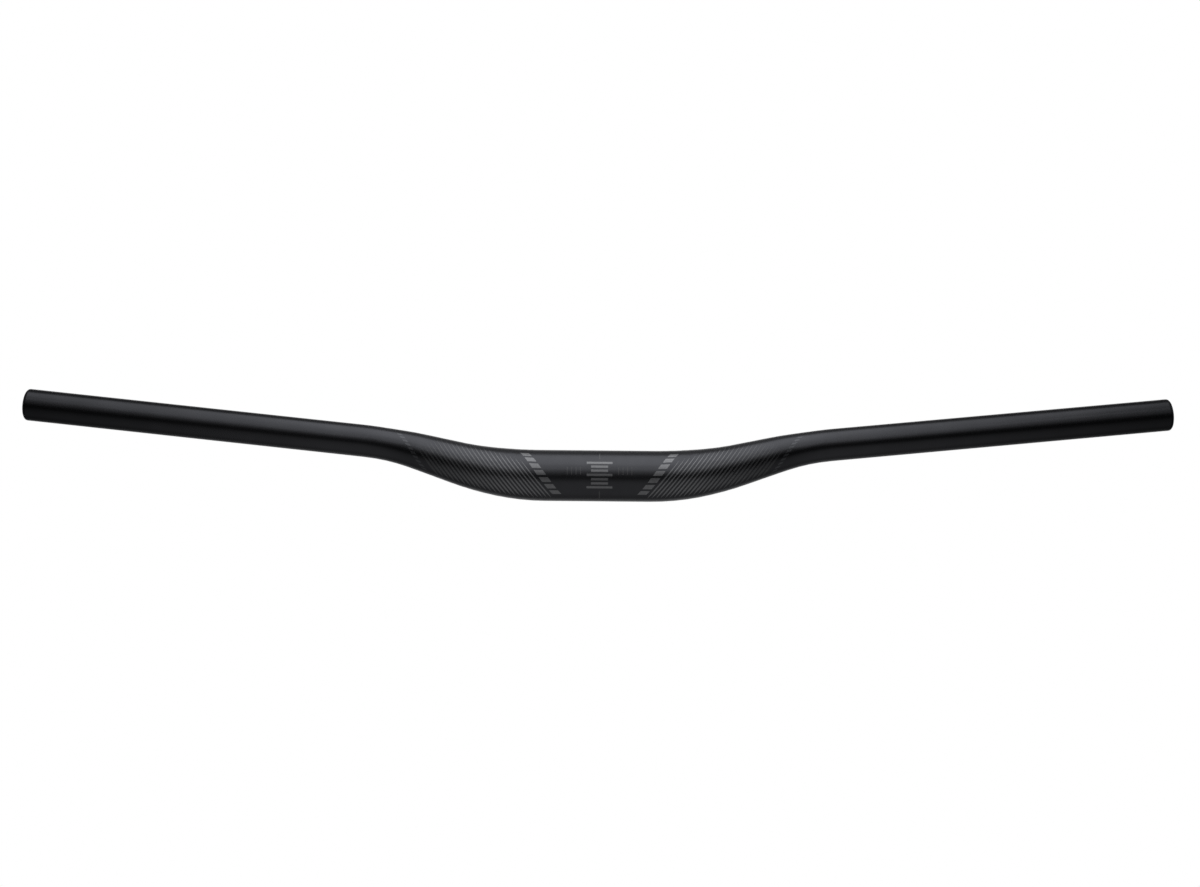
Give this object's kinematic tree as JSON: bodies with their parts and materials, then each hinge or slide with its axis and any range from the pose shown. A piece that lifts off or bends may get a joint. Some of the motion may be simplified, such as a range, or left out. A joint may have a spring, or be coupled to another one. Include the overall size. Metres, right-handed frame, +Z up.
{
  "type": "riser handlebar",
  "caption": "One-piece satin black riser handlebar: straight stem clamp section, tapered arms bent up and back, and straight open-ended tube for grips and levers.",
  "frame": {"origin": "middle of the stem clamp section, on its axis", "axes": "+X along the clamp axis, +Y back towards the rider, +Z up; the front of the bar faces -Y"},
  "size_m": [0.8028, 0.075, 0.0709],
  "materials": {
    "bar": "satin black anodised"
  },
  "bodies": {
    "root": {"handlebar": "bar"}
  },
  "joints": []
}
